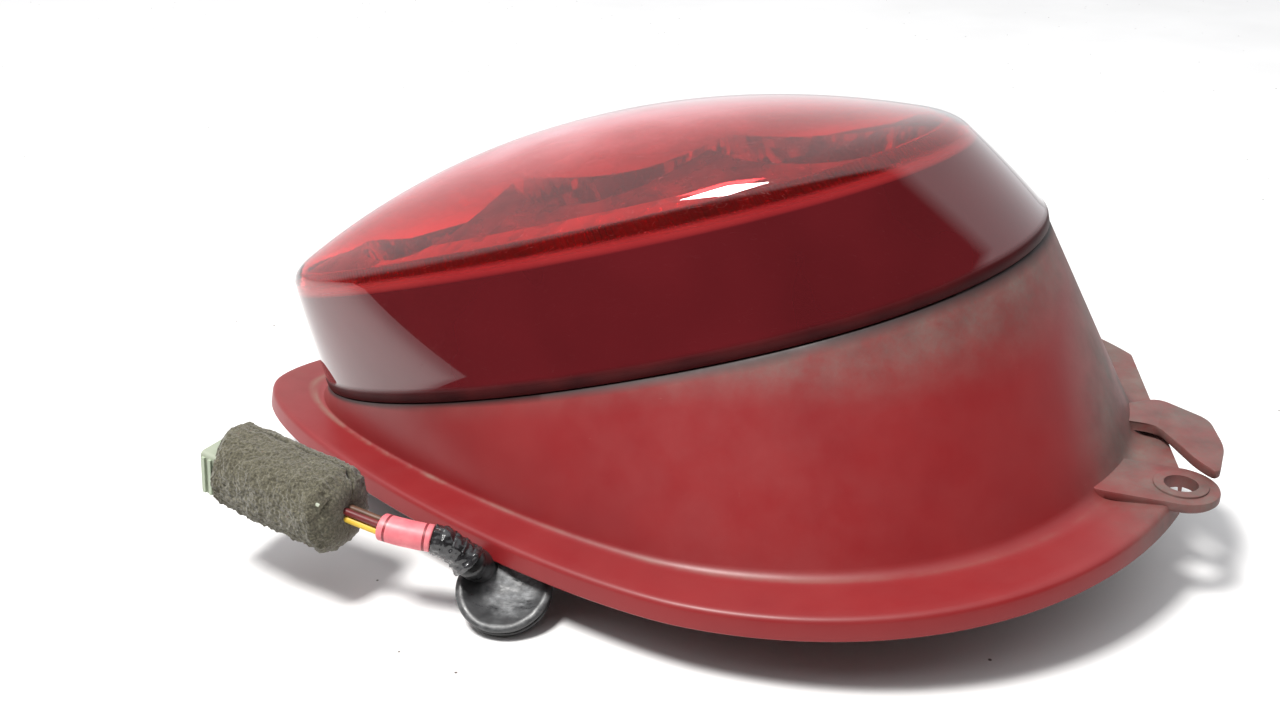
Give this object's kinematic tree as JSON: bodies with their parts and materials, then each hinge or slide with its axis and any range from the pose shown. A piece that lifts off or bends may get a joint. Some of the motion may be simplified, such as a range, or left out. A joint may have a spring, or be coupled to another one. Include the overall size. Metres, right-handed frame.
{
  "type": "rear combination lamp",
  "caption": "Asymmetric rear lamp: domed red lens over a three-bulb reflector in a painted pod with a flange, screw ear, studs and a wired pigtail.",
  "frame": {"origin": "midway between the two mounting studs, on their seating plane", "axes": "+X along the lamp towards the screw ear, +Y across it, +Z out of the vehicle body towards the lens"},
  "size_m": [0.2998, 0.2234, 0.1273],
  "materials": {
    "red_lens": "clear red acrylic, glossy",
    "red_paint": "worn red paint, dusty",
    "black_plastic": "moulded",
    "reflector_chrome": "vacuum metallised",
    "black_rubber": "matt",
    "boot_rubber": "dusty",
    "gasket_foam": "closed-cell foam",
    "zinc_steel": "zinc plated",
    "brass": "plain",
    "bulb_glass": "clear",
    "black_tape": "wound harness tape",
    "pink_sleeve": "satin",
    "yellow_wire": "insulation",
    "maroon_wire": "insulation",
    "brown_wire": "insulation",
    "black_wire": "insulation",
    "connector_plastic": "natural nylon",
    "olive_foam": "fuzzy open-cell foam"
  },
  "bodies": {
    "lamp": {"outer_lens": "red_lens", "lens_seal": "black_rubber", "reflector": "reflector_chrome", "lamp_housing": "black_plastic", "pod_cover": "red_paint", "flange_gasket": "gasket_foam", "vent_cap": "black_rubber", "cover_screws": "zinc_steel", "mounting_studs": "zinc_steel", "harness_breakout": "black_tape", "harness_clip": "black_plastic", "branch_left": "black_tape", "branch_middle": "black_tape", "branch_right": "black_tape", "harness_trunk": "black_tape", "panel_boot": "boot_rubber", "tape_wrap": "black_tape", "marker_sleeve": "pink_sleeve", "wire_yellow": "yellow_wire", "wire_maroon": "maroon_wire", "wire_brown": "brown_wire", "wire_black": "black_wire", "connector_housing": "connector_plastic", "connector_terminals": "brass", "foam_wrap": "olive_foam"},
    "holder_left": {"bulb_holder_left": "black_plastic", "holder_seal_left": "black_rubber", "holder_contact_left": "brass", "bulb_cap_left": "brass", "bulb_glass_left": "bulb_glass", "bulb_filament_left": "zinc_steel"},
    "holder_middle": {"bulb_holder_middle": "black_plastic", "holder_seal_middle": "black_rubber", "holder_contact_middle": "brass", "bulb_cap_middle": "brass", "bulb_glass_middle": "bulb_glass", "bulb_filament_middle": "zinc_steel"},
    "holder_right": {"bulb_holder_right": "black_plastic", "holder_seal_right": "black_rubber", "holder_contact_right": "brass", "bulb_cap_right": "brass", "bulb_glass_right": "bulb_glass", "bulb_filament_right": "zinc_steel"}
  },
  "joints": [
    {"name": "twist_left", "type": "hinge", "parent": "lamp", "child": "holder_left", "pos_m": [-0.07082, -0.00056, 0.01708], "axis": [-0.2855, 0.0401, 0.9576], "range_deg": [0, 30]},
    {"name": "twist_middle", "type": "hinge", "parent": "lamp", "child": "holder_middle", "pos_m": [-0.0114, -0.00056, 0.03479], "axis": [-0.2855, 0.0401, 0.9576], "range_deg": [0, 30]},
    {"name": "twist_right", "type": "hinge", "parent": "lamp", "child": "holder_right", "pos_m": [0.0461, -0.00056, 0.05194], "axis": [-0.2855, 0.0401, 0.9576], "range_deg": [0, 30]}
  ]
}
